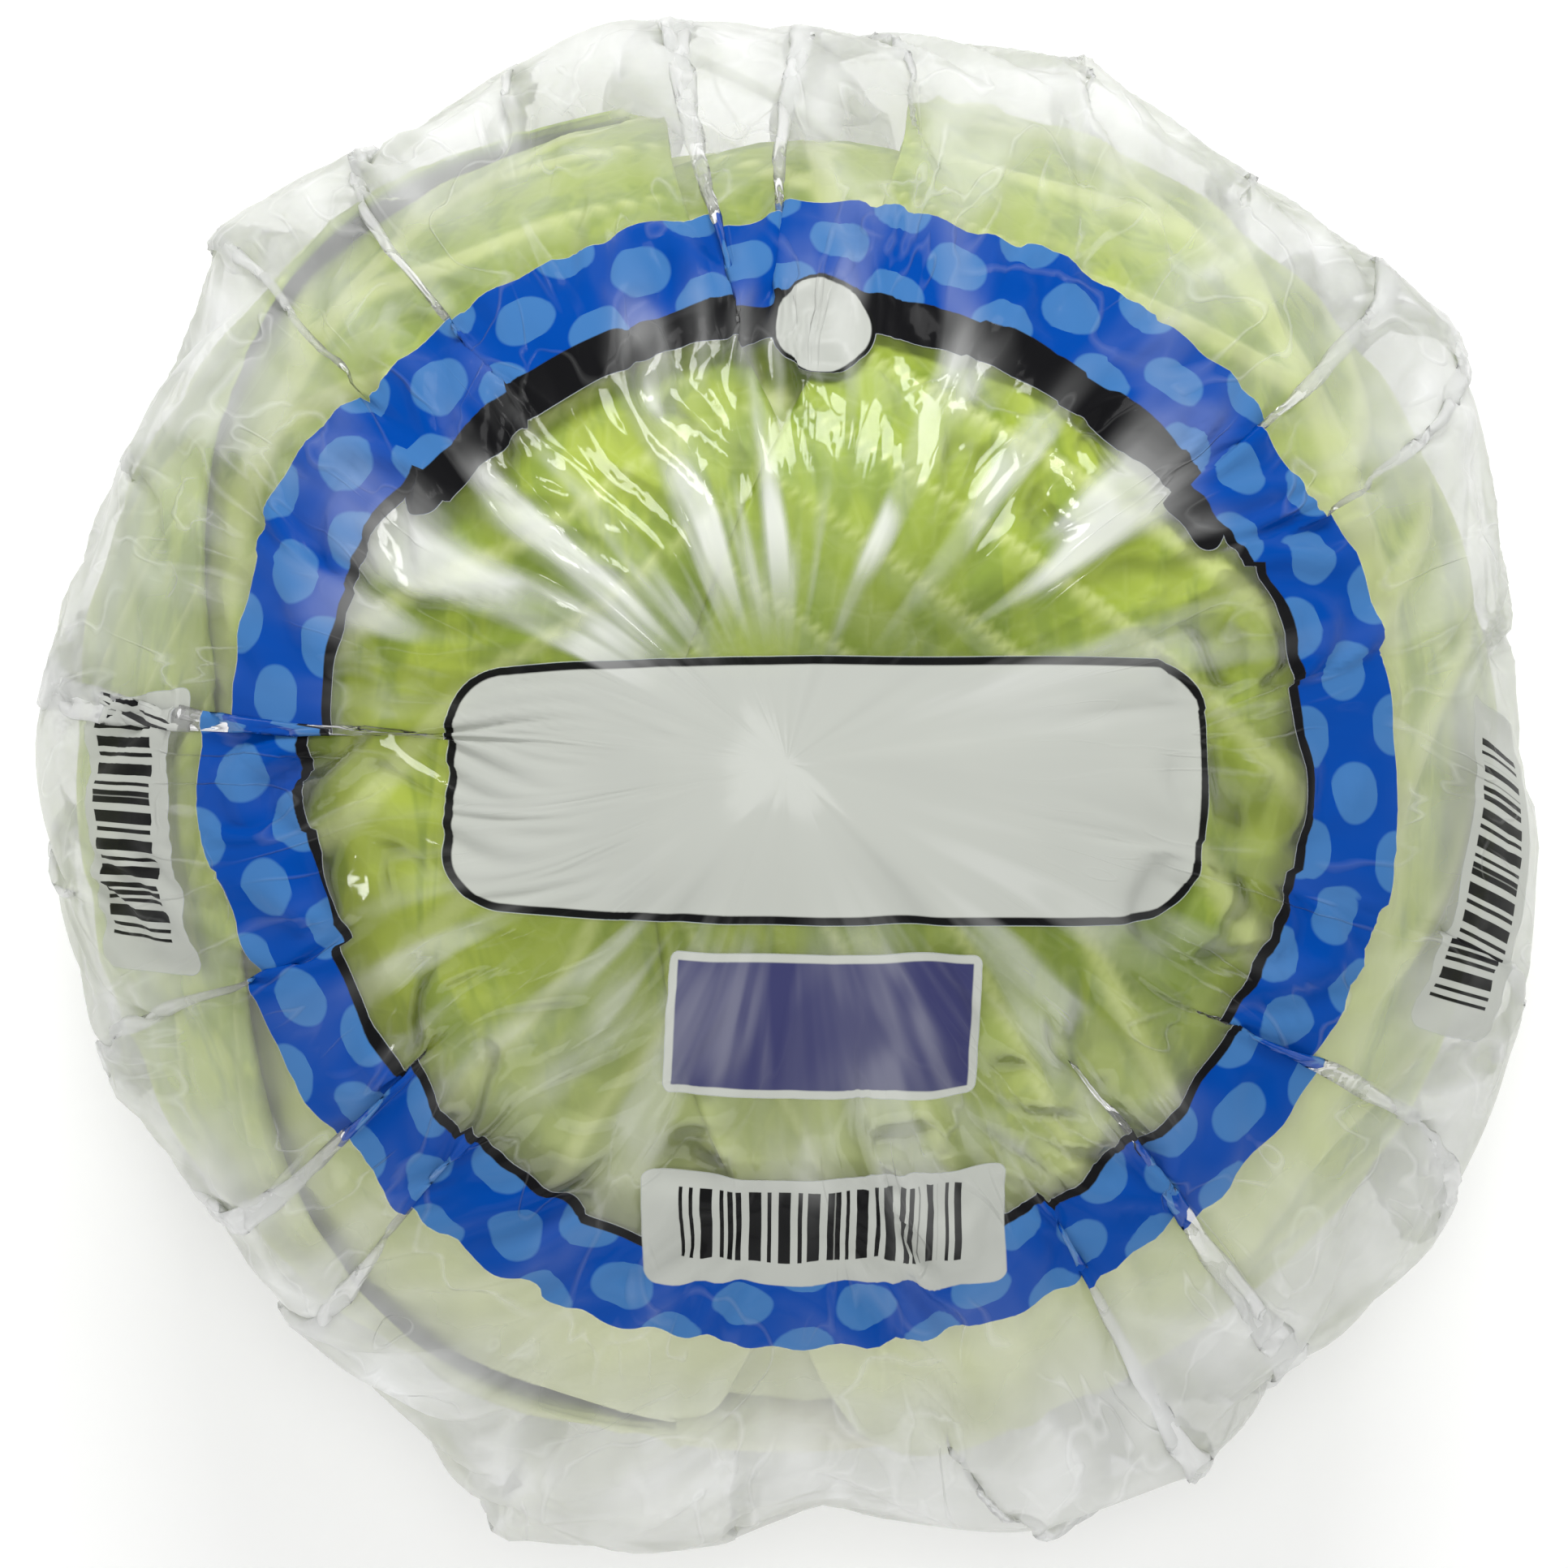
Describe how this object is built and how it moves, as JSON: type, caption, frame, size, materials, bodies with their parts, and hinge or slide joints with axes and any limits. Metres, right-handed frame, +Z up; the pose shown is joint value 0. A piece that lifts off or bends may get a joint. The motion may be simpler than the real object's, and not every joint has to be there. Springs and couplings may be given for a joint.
{
  "type": "wrapped cabbage head",
  "caption": "Round green cabbage head lying on its side in a clear, loosely pleated film wrap that is gathered and pressed flat underneath.",
  "frame": {"origin": "middle of the pressed flat of film that the head rests on", "axes": "+Z up, out of the film's printed face; +Y from the cut stem to the crown; +X to the right as the printed face is looked at with the crown at the top"},
  "size_m": [0.166, 0.1688, 0.1359],
  "materials": {
    "heart_leaf": "waxy pale yellow-green leaf with paler veins",
    "wrapper_leaf": "waxy green leaf, satin, with a broad pale midrib and branching veins",
    "stem": "moist cream-white cut stem",
    "film": "clear, slightly milky glossy film with a blue dotted ring and plain white panels printed on it"
  },
  "bodies": {
    "root": {"heart": "heart_leaf", "stem": "stem", "wrapper_leaf_1": "wrapper_leaf", "wrapper_leaf_2": "wrapper_leaf", "wrapper_leaf_3": "wrapper_leaf", "wrapper_leaf_4": "wrapper_leaf", "wrapper_leaf_5": "wrapper_leaf", "wrapper_leaf_6": "wrapper_leaf", "film_wrap": "film"}
  },
  "joints": []
}
